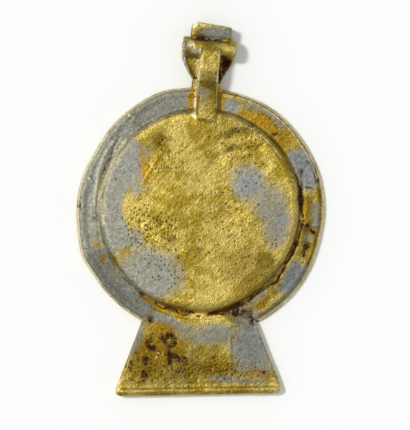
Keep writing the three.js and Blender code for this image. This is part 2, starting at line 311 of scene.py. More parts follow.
def smooth_step(value, low, high):
    share = np.clip((value - low) / (high - low), 0, 1)
    return share * share * (3 - 2 * share)


def cloud(places, grain, seed):
    """Smooth random values from -1 to 1 at places in millimetres, with grains of one size."""
    table = np.random.default_rng(seed).uniform(-1, 1, (32, 32, 32))
    cell = places / grain
    low = np.floor(cell).astype(int)
    share = cell - low
    share = share * share * (3 - 2 * share)
    total = np.zeros(len(places))
    for step in itertools.product((0, 1), repeat=3):
        weight = np.prod(np.where(step, share, 1 - share), axis=1)
        x, y, z = ((low + step) % 32).T
        total += weight * table[x, y, z]
    return total


def along(places, points):
    """The distance in millimetres from each place to a line through (x, y) points."""
    nearest = np.full(len(places), 1e3)
    for (x1, y1), (x2, y2) in zip(points, points[1:]):
        dx, dy = x2 - x1, y2 - y1
        share = ((places[:, 0] - x1) * dx + (places[:, 1] - y1) * dy) / (dx * dx + dy * dy)
        share = np.clip(share, 0, 1)
        away = np.hypot(places[:, 0] - x1 - share * dx, places[:, 1] - y1 - share * dy)
        nearest = np.minimum(nearest, away)
    return nearest


# Pieces of the casting

EDGE_SWELLS = [(20, 0.2, 16), (50, 0.35, 14), (108, 0.55, 9), (150, -0.7, 14), (200, 0.6, 8), (346, -0.4, 13)]


def edge_swell(degrees):
    """How far the filed edge stands out from the true circle, in millimetres."""
    total = 0
    for at, by, spread in EDGE_SWELLS:
        away = (degrees - at + 180) % 360 - 180
        total = total + by * np.exp(-((away / spread) ** 2))
    return total


class ICON_OT_plate(Operator):
    """Turn the round plate ring by ring, then pull its edge to the filed outline"""

    bl_idname = "icon.plate"
    bl_label = "Plate"

    def execute(self, context):
        s = context.scene.icon_sizes
        edge, field, plateau = s.plate_radius / MM, s.field_radius / MM, s.plateau_radius / MM
        top, depth = s.plate_thickness / MM, s.field_depth / MM
        back = top + s.plateau_rise / MM
        slope = s.wall_slope / MM
        section = [
            (0.4, depth),
            (field - 0.6, depth),
            (field - 0.1, 0.5),
            (field + 0.4, 0),
            (field + 1.2, 0),
            (field + 1.5, 0.35),
            (field + 1.9, 0.35),
            (field + 2.2, 0),
            (edge - 0.5, 0),
            (edge - 0.1, 0.25),
            (edge, 0.6),
            (edge - slope, top - 0.2),
            (edge - slope - 0.35, top + 0.02),
            (edge - slope - 0.9, top + 0.05),
            (edge - 2.6, top - 0.15),
            (plateau + 1.9, top - 0.2),
            (plateau + 1.2, top - 0.3),
            (plateau + 0.65, top + 0.4),
            (plateau + 0.3, back - 0.5),
            (plateau - 0.1, back - 0.2),
            (plateau - 0.9, back - 0.02),
            (0.4, back + 0.1),
        ]
        clear_selection()
        radius, z = section[0]
        bpy.ops.mesh.primitive_circle_add(
            vertices=240, radius=radius * MM, fill_type="NGON", location=(0, 0, z * MM)
        )
        plate = begin("Plate")
        for (r0, z0), (r1, z1) in zip(section, section[1:]):
            rise = (0, 0, (z1 - z0) * MM)
            bpy.ops.mesh.extrude_region_move(TRANSFORM_OT_translate={"value": rise})
            grow = r1 / r0
            bpy.ops.transform.resize(value=(grow, grow, 1), center_override=(0, 0, z1 * MM))
        end(plate)
        places = corners_of(plate)
        away = np.hypot(places[:, 0], places[:, 1]) / MM
        degrees = np.degrees(np.arctan2(places[:, 1], places[:, 0]))
        outside = smooth_step(away, plateau + 1.5, edge - 1)
        pull = 1 + edge_swell(degrees) * outside / np.maximum(away, 1)
        places[:, 0] = places[:, 0] * pull - 0.15 * MM * (1 - outside)
        places[:, 1] = places[:, 1] * pull + 0.35 * MM * (1 - outside) + s.plate_centre
        move_corners(plate, places)
        return {"FINISHED"}


class ICON_OT_foot(Operator):
    """Shape the flared foot with its hollow panel and the rounded lip along its bottom"""

    bl_idname = "icon.foot"
    bl_label = "Foot"

    def execute(self, context):
        s = context.scene.icon_sizes
        outline = [
            (-20.3, -44.5),
            (-19.4, -45),
            (18.4, -44.4),
            (19.3, -43.9),
            (19.5, -43.2),
            (11.5, -22.6),
            (-12.6, -22.6),
            (-20.4, -43.6),
        ]
        foot = prism("Foot", outline, 0, s.foot_thickness / MM, 0.3)
        bpy.ops.object.mode_set(mode="EDIT")
        pick(lambda middle, normal: normal.z < -0.99)
        bpy.ops.mesh.inset(thickness=s.foot_border - 0.3 * MM, depth=0)
        bpy.ops.transform.resize(value=(1, 0.8, 1), center_override=(0, -42.9 * MM, 0))
        bpy.ops.mesh.inset(thickness=0.35 * MM, depth=-s.panel_depth)
        end(foot)

        clear_selection()
        inner = 26
        bpy.ops.mesh.primitive_cylinder_add(
            vertices=240, radius=inner * MM, depth=20 * MM, location=(0, s.plate_centre, 0)
        )
        cutter = bpy.context.object
        finish_with(foot, "BOOLEAN", operation="DIFFERENCE", object=cutter, solver="EXACT")
        bpy.data.objects.remove(cutter)

        clear_selection()
        lip_y, lip_z = -43.55 * MM, 1.9 * MM
        bpy.ops.mesh.primitive_cylinder_add(
            vertices=32,
            radius=s.lip_radius,
            depth=36.8 * MM,
            location=(-0.5 * MM, lip_y, lip_z),
            rotation=(0, math.pi / 2, math.atan(0.6 / 36.8)),
        )
        lip = begin("Lip")
        for side in (-1, 1):
            rise = 0.3 * side * MM
            radius = s.lip_radius / MM
            swell((radius,) * 3, (-0.5 + side * 18.4, lip_y / MM + rise / MM, lip_z / MM), 0, 24)
        end(lip)
        return {"FINISHED"}


class ICON_OT_loop(Operator):
    """Shape the loop's head: shell, roll, block and the strap over the cord's channel"""

    bl_idname = "icon.loop"
    bl_label = "Loop"

    def execute(self, context):
        s = context.scene.icon_sizes
        wide, neck = s.head_half_width / MM, s.neck_half_width / MM
        shell = [
            (-neck, -2.4),
            (neck, -2.4),
            (neck, 0.9),
            (wide - 0.5, 5.4),
            (wide, 7),
            (-wide, 7),
            (-wide, 5.2),
            (-neck, 0.9),
        ]
        pieces = [
            prism("Shell", shell, 0.5, 1.4, 0.3),
            prism("Neck", [(-neck, -2.4), (neck, -2.4), (neck, 0.9), (-neck, 0.9)], 0.5, 2.7, 0.5),
            prism("Block", [(-4.9, 9.4), (4.9, 9.4), (5, 13.6), (-3.3, 14.3), (-4.7, 13.4)], 0.7, 4.9, 0.45),
        ]
        clear_selection()
        bpy.ops.mesh.primitive_cylinder_add(
            vertices=32,
            radius=2.35 * MM,
            depth=2 * wide * MM,
            location=(0, 8.3 * MM, 3.15 * MM),
            rotation=(0, math.pi / 2, 0),
        )
        roll = begin("Roll")
        bpy.ops.transform.resize(value=(1, 1, 3 / 2.35), center_override=(0, 0, 3.15 * MM))
        bpy.ops.mesh.select_all(action="SELECT")
        bpy.ops.mesh.bevel(offset=1.2 * MM, segments=4, affect="EDGES", clamp_overlap=True)
        end(roll)
        pieces.append(roll)

        half, top = s.strap_half_width / MM, s.strap_top / MM
        runs = [
            [
                (0.6, -9.6, 2.2, 3.8, half - 0.4),
                (0.6, -8.8, 2.2, 4.35, half - 0.05),
                (0.4, -4, 2.2, 4.9, half),
                (0.3, -1.2, 2.2, 5.3, half),
                (0.2, 0.9, 2.2, top - 0.7, half),
            ],
            [
                (0.2, 0.2, 5, top - 0.8, half),
                (0.2, 0.9, 5.85, top - 0.65, half),
                (0.2, 3, 5.85, top - 0.1, half),
                (0.25, 6.1, 5.85, top, half),
                (0.3, 7.4, 4.6, top - 0.1, half),
                (0.3, 8.4, 4.6, top - 0.6, half - 0.4),
                (0.3, 8.9, 4.6, top - 1.2, half - 1.1),
            ],
        ]
        for run in runs:
            clear_selection()
            x, y, low, high, wide = run[0]
            bpy.ops.mesh.primitive_plane_add(
                size=1, location=(x * MM, y * MM, (low + high) / 2 * MM), rotation=(math.pi / 2, 0, 0)
            )
            strap = begin("Strap")
            bpy.ops.transform.resize(value=(2 * wide * MM, 1, (high - low) * MM))
            pick(lambda place: place.y > 0 > place.x, "verts")
            bpy.ops.mesh.bevel(offset=0.85 * MM, segments=2, affect="VERTICES")
            pick(lambda place: place.y > 0 and place.x > (wide - 0.1) * MM, "verts")
            bpy.ops.mesh.bevel(offset=0.35 * MM, segments=2, affect="VERTICES")
            pick(lambda middle, normal: True)
            for (x0, y0, low0, high0, wide0), (x1, y1, low1, high1, wide1) in zip(run, run[1:]):
                step = ((x1 - x0) * MM, (y1 - y0) * MM, (low1 + high1 - low0 - high0) / 2 * MM)
                bpy.ops.mesh.extrude_region_move(TRANSFORM_OT_translate={"value": step})
                bpy.ops.transform.resize(value=(wide1 / wide0, 1, (high1 - low1) / (high0 - low0)))
            end(strap)
            pieces.append(strap)
        loop = join("Loop", pieces)
        loop.rotation_euler.z = math.radians(-5)
        loop.location = (1.45 * MM, 30.2 * MM, 0)
        bpy.ops.object.transform_apply(location=True, rotation=True, scale=True)
        return {"FINISHED"}


class ICON_OT_figures(Operator):
    """Model the three winged figures of the front, measured in faces"""

    bl_idname = "icon.figures"
    bl_label = "Figures"

    def execute(self, context):
        s = context.scene.icon_sizes
        face, floor = s.face / MM, s.field_depth / MM

        body = begin_empty("Body")

        def part(half_x, half_y, reach, x, y, turn=0.0, thick=None, sides=20):
            lump(floor, half_x * face, half_y * face, reach, x * face, y * face, turn, thick, sides)

        def limb(start, finish, radius, reach, thick=None):
            points = [(x * face, y * face) for x, y in (start, finish)]
            bar(floor, *points, radius * face, reach, thick)

        disc(0.98 * face, 0.98 * face, floor - 0.5, floor + 0.3, 0, 0)
        ring(0.93 * face, 0.2, 0, 0, floor - 0.5)
        part(0.5, 0.56, 1.35, 0, 0.1)
        part(0.36, 0.5, 1.65, 0, -0.05, sides=28)
        part(0.2, 0.4, 1, 0, -0.6)
        part(1.12, 0.42, 1.15, 0, -1.1, sides=28)
        part(0.92, 1.5, 1.3, 0, -2.1, sides=28)
        part(0.05, 0.16, 1.86, 0, -0.04, thick=0.4)
        part(0.075, 0.06, 1.95, 0, -0.17, thick=0.3)
        part(0.1, 0.032, 1.8, 0, -0.29, thick=0.2)
        part(0.08, 0.032, 1.8, 0, -0.36, thick=0.2)
        part(0.14, 0.09, 1.8, 0, -0.47, thick=0.5)
        for side in (-1, 1):
            part(0.12, 0.15, 1.68, side * 0.18, -0.2, thick=0.6)
            part(0.085, 0.04, 1.7, side * 0.155, 0.04, thick=0.25, sides=16)
            limb((side * 0.06, 0.13), (side * 0.25, 0.11), 0.03, 1.78, 0.3)
            for start, finish, radius, reach in (
                ((0.06, 0.6), (0.3, 0.48), 0.1, 1.5),
                ((0.3, 0.5), (0.43, 0.2), 0.11, 1.5),
                ((0.42, 0.24), (0.44, -0.12), 0.1, 1.4),
                ((0.44, -0.1), (0.4, -0.46), 0.1, 1.3),
                ((0.4, -0.44), (0.52, -0.72), 0.08, 1.25),
            ):
                limb((side * start[0], start[1]), (side * finish[0], finish[1]), radius, reach)
            limb((side * 1, -1.14), (side * 1.2, -2), 0.26, 1.35)
            limb((side * 1.18, -2.06), (side * 0.3, -1.92), 0.22, 1.6)
            limb((side * 0.34, -1.9), (-side * 0.1, -1.6), 0.12, 1.8)
            for finger in range(3):
                drop = 0.07 * finger
                limb((side * 0.2, -1.84 + drop), (-side * 0.06, -1.62 + drop), 0.035, 1.86, 0.4)
            for fold in range(4):
                top, low = 0.16 + 0.2 * fold, 0.1 + 0.24 * fold
                limb((side * top, -0.95 - 0.06 * fold), (side * low, -1.7 - 0.2 * fold), 0.05, 1.5, 0.5)
            for fold in range(3):
                y = -1.36 - 0.2 * fold
                limb((side * 0.86, y), (side * (1.32 + 0.04 * fold), y - 0.16), 0.045, 1.5, 0.4)
        end(body)

        feather = begin_empty("Feather")
        lump(floor, 0.83 * face, 0.2 * face, 0.8, 1.2 * face, 0)
        pick(lambda place: place.x > 1.3 * face * MM, "verts")
        bpy.ops.transform.resize(value=(1, 1.15, 1), center_override=(0, 0, floor * MM))
        lump(floor, 0.76 * face, 0.026 * face, 0.96, 1.2 * face, 0, thick=0.4)
        for barb in range(9):
            x = (0.62 + 0.14 * barb) * face
            for side in (-1, 1):
                tip = (x + 0.16 * face, side * 0.15 * face)
                bar(floor, (x, side * 0.03 * face), tip, 0.022 * face, 0.9, 0.35, 8)
        end(feather)

        outer, inner, middle = (80, 56, 32, 8, -16, -40), (88, 64), (66, 40, 14, -12)
        figures = []
        for place, wings in (
            ((13.8, 5), {-1: inner, 1: outer}),
            ((-13.8, 5), {-1: outer, 1: inner}),
            ((0, 10.2), {-1: middle, 1: middle}),
        ):
            figures.append(copy_of(body, *place))
            for side, wing in wings.items():
                root = (place[0] + side * 0.75 * face, place[1] - 1.2 * face)
                for degrees in wing:
                    turn = degrees if side > 0 else 180 - degrees
                    figures.append(copy_of(feather, *root, turn))
                for degrees in wing[1:]:
                    turn = degrees + 12 if side > 0 else 168 - degrees
                    figures.append(copy_of(feather, *root, turn, 0.62))
        for side in (-1, 1):
            robe = begin_empty("Robe")
            lump(floor, 3.1, 7, 1.15, side * 15.9, -9.6, side * 8)
            for fold in range(5):
                x = side * (13.6 + 1.1 * fold)
                bar(floor, (x, -4 - fold), (x + side * 0.4, -16.4 + 1.1 * fold), 0.34, 1.4, 0.6)
            end(robe)
            figures.append(robe)
        bpy.data.objects.remove(body)
        bpy.data.objects.remove(feather)
        keep_in_field(join("Figures", figures), s)
        return {"FINISHED"}


def keep_in_field(piece, sizes):
    """Presses what would leave the round field back to its wall, and under its floor."""
    places = corners_of(piece)
    away = np.maximum(np.hypot(places[:, 0], places[:, 1]), MM)
    inside = np.minimum(1, (sizes.field_radius + 0.1 * MM) / away)
    places[:, 0] *= inside
    places[:, 1] = places[:, 1] * inside + sizes.plate_centre
    places[:, 2] = np.clip(places[:, 2], 0.15 * MM, sizes.field_depth + 0.4 * MM)
    move_corners(piece, places)


class ICON_OT_table(Operator):
    """Model the round table with its pleated cloth, bowl, cups and loaves"""

    bl_idname = "icon.table"
    bl_label = "Table"

    def execute(self, context):
        s = context.scene.icon_sizes
        floor = s.field_depth / MM
        wide, deep, centre, drop = 13.2, 4.6, -10.2, 4.6
        cloth_deep = (deep + drop) / 2 + 1
        cloth_centre = centre - deep - drop + cloth_deep
        table = begin_empty("Table")
        disc(wide - 0.5, cloth_deep, floor - 0.9, floor + 0.3, 0, cloth_centre)
        disc(wide, deep, floor - 1.5, floor + 0.3, 0, centre)
        ring(wide - 0.35, 0.22, 0, centre, floor - 1.42, (deep - 0.3) / (wide - 0.35))
        pleats = 8
        for i in range(pleats):
            across = (2 * i + 1) / pleats - 1
            hang = math.sqrt(1 - across**2)
            x = across * (wide - 0.8)
            edge = centre - deep * hang
            hem = cloth_centre - (cloth_deep - 0.6) * hang
            bar(floor, (x, edge + 0.4), (x * 0.97, hem), 0.85, 1.35)
            bar(floor, (x + 0.9, edge + 0.2), (x * 0.97 + 1, hem + 0.5), 0.3, 1.2)
        top = floor - 1.1
        lump(top, 2.3, 1.6, 0.6, 0, centre + 0.4)
        ring(1.9, 0.24, 0, centre + 0.4, top - 0.6, 0.7)
        for side in (-1, 1):
            lump(top, 1.1, 1.3, 0.6, side * 5, centre - 0.6)
            ring(0.85, 0.2, side * 5, centre + 0.1, top - 0.62, 0.8)
            lump(top, 1.7, 0.9, 0.7, side * 8.8, centre + 0.2)
            for cut in range(3):
                x = side * 8.8 + 0.75 * (cut - 1)
                bar(top, (x - 0.2, centre - 0.3), (x + 0.2, centre + 0.7), 0.14, 0.82, 0.3, 8)
        end(table)
        keep_in_field(table, s)
        return {"FINISHED"}


class ICON_OT_ornament(Operator):
    """Model the fan of petals and curls in the foot's panel and the small cross on the loop's front"""

    bl_idname = "icon.ornament"
    bl_label = "Ornament"

    def execute(self, context):
        s = context.scene.icon_sizes
        floor = s.panel_depth / MM
        x0, y0 = -0.5, -41.6
        fan = begin_empty("Palmette")
        lump(floor, 1.5, 1.1, 0.75, x0, y0)
        for away in range(-75, 76, 25):
            long = 4.6 - abs(away) * 0.02
            angle = math.radians(90 - away)
            x, y = x0 + (long + 1) * math.cos(angle), y0 + (long + 1) * math.sin(angle)
            lump(floor, long, 1, 0.66, x, y, 90 - away)
            lump(floor, long * 0.8, 0.18, 0.78, x, y, 90 - away, thick=0.3)
        for side in (-1, 1):
            ring(1.7, 0.55, x0 + side * 11.6, y0 + 2.6, floor)
            lump(floor, 0.7, 0.7, 0.6, x0 + side * 11.6, y0 + 2.6)
            lump(floor, 4.4, 0.65, 0.6, x0 + side * 6.6, y0 + 0.5, side * 3)
        end(fan)

        arms = [
            prism("Cross", [(-0.55, 1.4), (0.55, 1.4), (0.55, 6.4), (-0.55, 6.4)], 0.1, 1.1, 0.15),
            prism("Arm", [(-1.9, 3.6), (1.9, 3.6), (1.9, 4.6), (-1.9, 4.6)], 0.1, 1.1, 0.15),
        ]
        cross = join("Cross", arms)
        cross.rotation_euler.z = math.radians(-5)
        cross.location = (1.45 * MM, 30.2 * MM, 0)
        bpy.ops.object.transform_apply(location=True, rotation=True, scale=True)
        return {"FINISHED"}


# Wear, patina, and painted highlight and shade. Places are in millimetres, and angles in degrees from +X round the
# plate's middle.
# A line has its points, its half width and its rise. A spot has its middle, two half sizes, its turn
# and its strength. A band runs round the plate between two angles and two radii, with its strength.

def arc(radius, start, finish):
    """Points round the plate's middle from one angle to another, following the filed edge."""
    points = []
    for degrees in np.linspace(start, finish, 2 + int(abs(finish - start) / 5)):
        away = radius + edge_swell(degrees) * (radius > 27)
        angle = math.radians(degrees)
        points.append((away * math.cos(angle), away * math.sin(angle) - 0.7))
    return points


BACK_LINES = [
    ([(-20.8, 16), (-22.6, 13.6), (-24.4, 8.9), (-25.1, 3.8), (-25.4, -1.5)], 0.65, 0.36),
    ([(-19.3, 17.2), (-20.8, 15), (-22.9, 9.4), (-24.2, 4.8)], 0.35, -0.34),
    ([(-25.4, -1.5), (-24.9, -6)], 0.6, 0.2),
    ([(-26.8, 4), (-27.3, -3), (-26.4, -8)], 0.6, -0.12),
    ([(-14, 25), (-19, 21.4), (-23.4, 15.6)], 0.9, 0.12),
    ([(6, 22.9), (10.5, 21.1), (14.8, 18.2), (18.4, 14.6), (20.8, 11.8)], 0.35, 0.16),
    ([(24.2, 8.9), (24.4, 3), (24, -3), (22.9, -8.2)], 0.45, -0.4),
    ([(22.9, -8.2), (20.6, -12.8), (16.6, -17.5), (12, -21.2), (7, -24.2), (2, -25.3)], 0.5, -0.45),
    ([(-23, -8.4), (-19.6, -14.6), (-16.8, -17.8), (-14, -20.6)], 0.35, -0.22),
    ([(-14, -20.6), (-10.5, -22.6), (-6.4, -24.1), (-2, -24.9)], 0.45, -0.35),
    ([(9.4, 27), (14.5, 24.8), (19, 21.6), (23.4, 16.8), (26.2, 11.6)], 0.3, 0.16),
    ([(7.1, -30.8), (7.2, -38.2)], 0.4, 0.12),
    ([(-12, -32.4), (-8.4, -34.6), (-4, -35)], 0.7, -0.14),
    ([(-16, -38.6), (-10.8, -39.8)], 0.9, -0.12),
    ([(-19.4, -42.35), (18.6, -41.75)], 0.5, -0.12),
    ([(-2.6, 41), (8, 40.2)], 0.45, -0.5),
    ([(-4, 39.4), (-3.6, 34.6), (-2, 31.4)], 0.4, 0.5),
    ([(-8.6, 14.4), (-11.8, 9.6), (-14.2, 5.4)], 0.35, 0.1),
    ([(-9.4, 15.4), (-12.6, 10.4)], 0.5, -0.08),
    ([(-8, 17), (-13, 9.4)], 0.3, 0.07),
    ([(4.4, 9.6), (8, 11.4), (13, 13.4)], 0.7, 0.1),
    ([(4.4, 12.4), (9, 14.2)], 0.6, -0.1),
    ([(4.6, 17), (9.6, 18.6), (12.4, 17.8)], 0.8, -0.1),
]

BACK_DENTS = [
    (-29.3, 1.1, 0.5, 0.9, 0, -0.7),
    (-27.6, 11.9, 0.5, 0.5, 0, -0.5),
    (-11.8, -26.5, 0.7, 0.7, 0, -0.6),
    (12.9, -27.2, 0.9, 0.6, 0, -0.8),
    (8.6, -26.1, 2.4, 1, -20, -0.35),
    (11.3, -25.6, 0.8, 0.5, 30, 0.3),
    (-17, 22.4, 0.5, 0.4, 20, 0.25),
    (-16, 21.8, 0.4, 0.5, 0, 0.22),
    (-16.4, 20.6, 0.4, 0.6, 30, 0.2),
    (-26.6, 7.2, 0.4, 0.5, 0, 0.22),
    (-26, 6.4, 0.4, 0.3, 0, 0.2),
    (14.2, 14.6, 1.2, 0.7, 30, -0.12),
    (26.4, -5.3, 1.9, 0.7, 10, -0.18),
    (25.6, -10, 0.8, 1.5, -20, -0.2),
    (-27.4, -10, 1.2, 0.4, -20, -0.2),
    (-18.4, -19.6, 2.4, 1.2, -45, -0.1),
]

GREY = {
    "bands": [
        (96, 243, 24.2, 31, 1),
        (131, 207, 18.4, 24.4, 1),
        (71, 79, 24.6, 28.4, 0.95),
        (44, 70, 27, 29.2, 0.6),
        (12, 33, 24.6, 29, 1),
        (-9, 5, 26.4, 29, 0.75),
        (-46, -27, 25.2, 30, 0.9),
        (-74, -50, 25, 26.4, 0.6),
        (-74, -46, 27.8, 29.8, 0.5),
        (243, 262, 26, 28.6, 0.85),
    ],
    "spots": [
        (-15.6, 8, 2, 5, 0, 0.75),
        (-12.4, -15.6, 7.6, 5.6, 0, 1),
        (-15.8, -8, 2.2, 3, 0, 0.8),
        (11.6, 6.6, 4.4, 4.4, -20, 0.8),
        (16.6, 1.4, 4.4, 6, 20, 0.75),
        (18.6, -4.4, 3, 4.4, -10, 0.8),
        (-16.6, -30.8, 1.8, 5.4, -22, 0.9),
        (12.6, -32.6, 5.2, 7.4, 12, 0.95),
        (3.2, -30.2, 6, 2.6, 0, 0.8),
        (-3, -29.4, 2.8, 1.8, 0, 0.6),
        (6.6, -41, 4.4, 1.2, -6, 0.7),
        (12, -42, 3.6, 0.8, 0, 0.55),
        (4.4, 42.1, 4.4, 2, -5, 0.95),
        (-3.9, 36.6, 0.6, 4, 4, 0.95),
        (0.4, 27.6, 1.8, 1.5, 0, 0.55),
        (-0.2, 24.8, 1.6, 1, 0, 0.5),
        (4.8, 25.4, 0.9, 1.6, 0, 0.3),
    ],
}

COOL = {
    "bands": [
        (14, 32, 25, 29, 0.9),
        (-44, -29, 25.6, 29, 0.85),
        (128, 172, 25.4, 28, 0.45),
        (71, 78, 24.8, 28, 0.8),
        (136, 156, 19, 22.6, 0.4),
    ],
    "spots": [
        (11.2, 6.4, 2.6, 2.4, -20, 0.85),
        (18.8, -3.4, 2, 3, 0, 0.5),
        (25.8, -7.2, 1.1, 1, 0, 0.9),
        (12.6, -32, 4, 6, 12, 0.6),
        (-16.8, -30, 1.2, 3.6, -22, 0.6),
        (6.2, 41.6, 2.2, 1.2, 0, 0.6),
    ],
}

OCHRE = {
    "bands": [
        (46, 70, 24.4, 26.4, 0.85),
        (36, 46, 25, 28.2, 0.5),
        (234, 262, 23.8, 25.4, 0.9),
        (-64, -50, 26.4, 27.4, 0.75),
        (-8, 10, 24.9, 26, 0.75),
        (-22, -16, 27, 28.6, 0.9),
    ],
    "spots": [
        (-2.1, 26.4, 0.9, 3.4, -2, 0.8),
        (5.2, 26, 1, 3.6, -2, 0.8),
        (-13.8, 10.6, 1.1, 5, 4, 0.7),
        (-9, -28.6, 4, 1.6, 0, 0.75),
        (-24.9, -8.7, 0.8, 0.8, 0, 0.95),
        (-23.7, -12, 0.6, 1.8, 35, 0.85),
        (-2.3, 34.4, 0.7, 2.8, 2, 0.8),
        (4, -37.4, 3.4, 2.6, 0, 0.65),
        (-9.4, -33.4, 7, 4.6, 0, 0.62),
        (-13, -39, 5, 2.4, 0, 0.5),
        (13.4, -39.6, 3, 1.4, 0, 0.55),
    ],
}

OLIVE = {
    "bands": [
        (108, 124, 24.2, 26, 0.6),
        (44, 70, 26.2, 27.4, 0.6),
        (36, 50, 24.4, 28, 0.5),
        (-84, -18, 23.6, 25.6, 0.5),
        (-18, 10, 23.8, 26.6, 0.6),
        (-26, -8, 26, 29, 0.5),
        (-60, -10, 28, 30, 0.4),
    ],
    "spots": [
        (-10.6, 16.2, 1.8, 2.8, 0, 0.85),
        (-8.6, 9.4, 1.5, 1.4, 40, 0.6),
        (8.6, 18.9, 4.4, 1.2, 10, 0.75),
        (7.3, 15.3, 2.4, 0.9, 14, 0.6),
        (9.6, 12.6, 4.4, 0.7, 22, 0.55),
        (15.4, -12.2, 3.2, 2.6, 50, 0.7),
        (9, -14, 4, 4, 0, 0.4),
        (12.4, -17.4, 6, 2.6, 42, 0.6),
        (-19.9, 16.4, 0.9, 1.8, -30, 0.6),
        (-12, -36, 7, 6, 0, 0.6),
        (2, -39, 13, 2.4, 0, 0.6),
        (15.6, -39.6, 3, 1.6, 0, 0.6),
        (2.6, 29.6, 1.8, 3, 0, 0.55),
        (0.6, 42, 2, 1.7, 0, 0.95),
        (-7, -7.6, 1.8, 1.5, 0, 0.7),
        (-9.4, -2.6, 3.4, 2, 0, 0.4),
        (-1.6, 29.6, 0.8, 4, -3, 0.6),
        (-2.3, 32.6, 0.7, 2, 2, 0.7),
    ],
}

# Red-black marks. The foot's and ring's blotches are dirt. The line along the strap's right flank is the strap's
# painted shadow, and the spots right of the strap are the loop's painted shaded channel. The line under the block
# is a painted shaded groove. The line in the groove left of the plateau and the bands along the plateau's right and
# lower edge are painted shade as well as dirt.
SOOT_AND_SHADE = {
    "lines": [
        (arc(29.2, 14, 76), 0.15, 0.85),
        ([(-20, 16.4), (-21.4, 13.8), (-22.9, 9.8), (-24, 6.4)], 0.22, 0.4),
        (arc(24.5, 196, 234), 0.17, 0.5),
        ([(-10, -23.2), (-4.5, -24.9), (0, -25.6)], 0.2, 0.9),
        (arc(29.3, 226, 234), 0.3, 0.8),
        ([(3.8, 25), (3.9, 31)], 0.3, 0.6),
        ([(-2.4, 40.8), (0.6, 40.4), (6, 40)], 0.3, 0.55),
    ],
    "bands": [
        (-84, -60, 23.9, 25.2, 0.8),
        (-60, -18, 24.1, 24.7, 1),
        (-18, 20, 24, 24.6, 0.9),
    ],
    "spots": [
        (25.6, -4.4, 1.2, 0.8, 8, 0.85),
        (27.4, -5.6, 1, 0.5, -10, 0.8),
        (25.3, -9.2, 0.8, 1, -24, 0.85),
        (24.6, -11, 0.5, 0.8, -24, 0.8),
        (27.8, 7.4, 0.5, 1.6, 0, 0.8),
        (26, 5.4, 1.2, 0.3, 0, 0.7),
        (24.8, 10.2, 0.35, 1.4, -14, 0.6),
        (9.6, -25, 2.4, 0.9, -10, 0.85),
        (12, -26.4, 1.2, 0.5, -40, 0.7),
        (17.8, 17.2, 0.7, 0.5, 0, 0.8),
        (13, 23.6, 1.6, 0.4, -30, 0.5),
        (-11.8, -31.2, 1.4, 0.7, 10, 0.75),
        (-12.4, -33.4, 1.5, 1, 0, 0.8),
        (-13.4, -32.4, 0.7, 1, 0, 0.7),
        (-7.4, -30.2, 1.6, 1, 20, 0.85),
        (-6.2, -31.6, 0.7, 1.2, 0, 0.8),
        (-7.8, -34.2, 1, 3.2, 4, 0.85),
        (-4.8, -35.8, 2, 0.9, -10, 0.8),
        (-4, -36.6, 1.2, 0.9, 0, 0.7),
        (-13.6, -36.4, 0.7, 0.8, 0, 0.7),
        (-13.7, -39.6, 0.9, 1.6, 0, 0.7),
        (-17.1, -37.6, 0.6, 1.2, 0, 0.7),
        (-16.4, -40.6, 0.7, 0.5, 0, 0.6),
        (2.4, -35.4, 1.6, 0.3, 14, 0.8),
        (-0.8, -36.2, 0.4, 0.9, 0, 0.75),
        (3.4, -37.4, 0.4, 1.2, 0, 0.5),
        (2.2, -39.1, 0.6, 0.5, 0, 0.7),
        (6.3, -40.9, 0.5, 0.4, 0, 0.75),
        (15.2, -39, 1.2, 0.5, 24, 0.7),
        (16.8, -40.4, 0.6, 0.5, 0, 0.6),
        (6.2, 34.4, 1.6, 2.2, -5, 1),
        (5.4, 31.8, 0.8, 2, -20, 0.9),
        (4.2, 32.6, 0.6, 0.9, 0, 1),
        (0.8, 41.2, 1.8, 0.7, 0, 0.6),
        (-27.6, 11.9, 0.35, 0.35, 0, 1),
        (-29.2, 1.1, 0.5, 0.8, 0, 1),
        (-11.8, -26.5, 0.5, 0.5, 0, 1),
        (-14.4, 3.9, 0.2, 0.2, 0, 0.8),
    ],
}

# Pale marks. The left edges of the plateau and its ridge, the left outline, the strap's left flank, the roll's left
# end and the tops of small bumps are painted highlight on the lit side. The plateau's upper right edge and the thin
# streaks are polish.
PALE = {
    "lines": [
        ([(-17.9, 16.3), (-20, 13.5), (-21.6, 10.3), (-22.7, 7.7), (-23.5, 5.4), (-24.1, 2.8)], 0.35, 1),
        ([(-24.1, 3), (-24.1, 1), (-23.9, -1.3), (-23.4, -3.6)], 0.6, 0.6),
        ([(-7.9, 22.6), (-11.5, 20.9), (-14.5, 18.6), (-17.2, 16.4)], 0.6, 0.42),
        ([(-20.9, 16), (-22.7, 13.6), (-24.5, 8.9), (-25.2, 3.8), (-25.4, 1.3)], 0.6, 0.34),
        (arc(28.8, 16, 72), 0.16, 0.55),
        (arc(29.5, 140, 215), 0.2, 0.6),
        (arc(23.2, 34, 76), 0.2, 0.6),
        ([(-1.5, 22), (-0.6, 31), (-0.2, 38)], 0.36, 0.95),
        ([(3.8, 24), (4, 32), (4.6, 37.6)], 0.14, 0.6),
        ([(0.6, 33.1), (3.2, 32.9)], 0.14, 0.5),
        ([(-1.6, 44.2), (7.4, 43.2)], 0.3, 0.3),
    ],
    "bands": [],
    "spots": [
        (-17, 22.4, 0.5, 0.4, 20, 0.5),
        (-16, 21.6, 0.4, 0.6, 0, 0.45),
        (-26.5, 7, 0.5, 0.5, 0, 0.45),
        (-2.2, 39.4, 0.9, 0.9, 0, 0.85),
        (-1.4, 37.8, 1, 0.8, 0, 0.7),
        (-1.4, 43.8, 0.7, 0.6, 0, 0.6),
        (-10.3, -35, 0.4, 0.6, 10, 0.8),
        (18.6, -43, 1.3, 0.9, 0, 0.4),
        (-11.4, 10, 0.3, 5, 38, 0.35),
        (-9.4, 11.6, 0.25, 3, 38, 0.3),
        (-0.2, -36, 0.2, 1, 10, 0.6),
        (1.6, -35, 0.2, 1, 0, 0.5),
    ],
}

